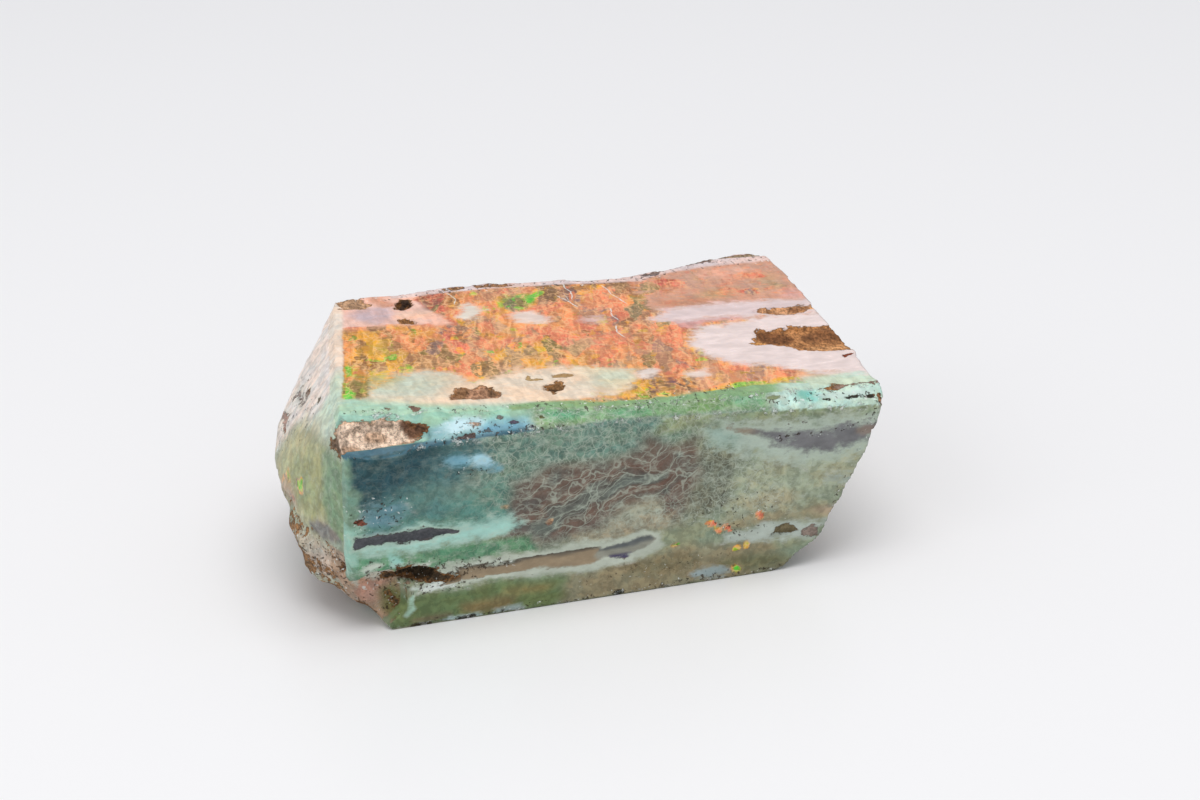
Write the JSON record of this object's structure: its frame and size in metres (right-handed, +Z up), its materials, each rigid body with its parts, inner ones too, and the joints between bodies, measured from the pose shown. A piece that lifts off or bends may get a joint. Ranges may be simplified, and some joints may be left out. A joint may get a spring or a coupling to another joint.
{
  "type": "rough opal specimen",
  "caption": "Brick-like block of rough opal with ground front and top faces, broken ends and hollows, resting on a flat base as a display specimen.",
  "frame": {"origin": "on the flat base, under the middle of the block's box", "axes": "+X to the right along the streaks in the opal (the longest extent), +Y from the ground front face to the broken back, +Z up (the shortest extent)"},
  "size_m": [0.1746, 0.1112, 0.0631],
  "materials": {
    "opal": "milky opal, glossy on the ground faces and dull on the broken ones"
  },
  "bodies": {
    "root": {"opal_block": "opal"}
  },
  "joints": []
}
